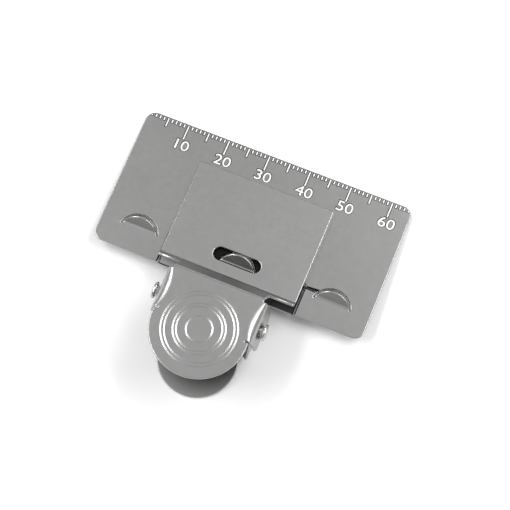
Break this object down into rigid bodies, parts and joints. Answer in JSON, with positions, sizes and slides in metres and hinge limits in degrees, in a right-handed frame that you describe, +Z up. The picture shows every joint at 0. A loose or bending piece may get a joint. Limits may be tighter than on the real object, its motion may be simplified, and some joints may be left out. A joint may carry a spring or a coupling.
{
  "type": "ruler clip",
  "caption": "Sheet-metal spring clip whose wide rear jaw is a millimetre ruler, with finger levers turning on a riveted pin.",
  "frame": {"origin": "on the surface the clip lies on, at the middle of its footprint; the rear pad and the ruler's far edge touch it", "axes": "+X along the ruler in the direction its scale counts, +Y from the levers towards the scale, +Z up, out of the ruler's face"},
  "size_m": [0.065, 0.0584, 0.0151],
  "materials": {
    "plated_sheet": "satin nickel plate",
    "plated_sheet_front": "satin nickel plate",
    "rivet_steel": "bright turned steel",
    "spring_steel": "bright drawn wire"
  },
  "bodies": {
    "rear": {"ruler_plate": "plated_sheet", "pivot_pin": "rivet_steel", "torsion_spring": "spring_steel"},
    "front": {"front_jaw_lever": "plated_sheet_front"}
  },
  "joints": [
    {"name": "jaw_hinge", "type": "hinge", "parent": "rear", "child": "front", "pos_m": [0, -0.01104, 0.00933], "axis": [1, 0, 0], "range_deg": [0, 36], "stiffness_Nm_per_rad": 0.18, "springref_deg": -57.3, "deforming": ["torsion_spring"]}
  ]
}
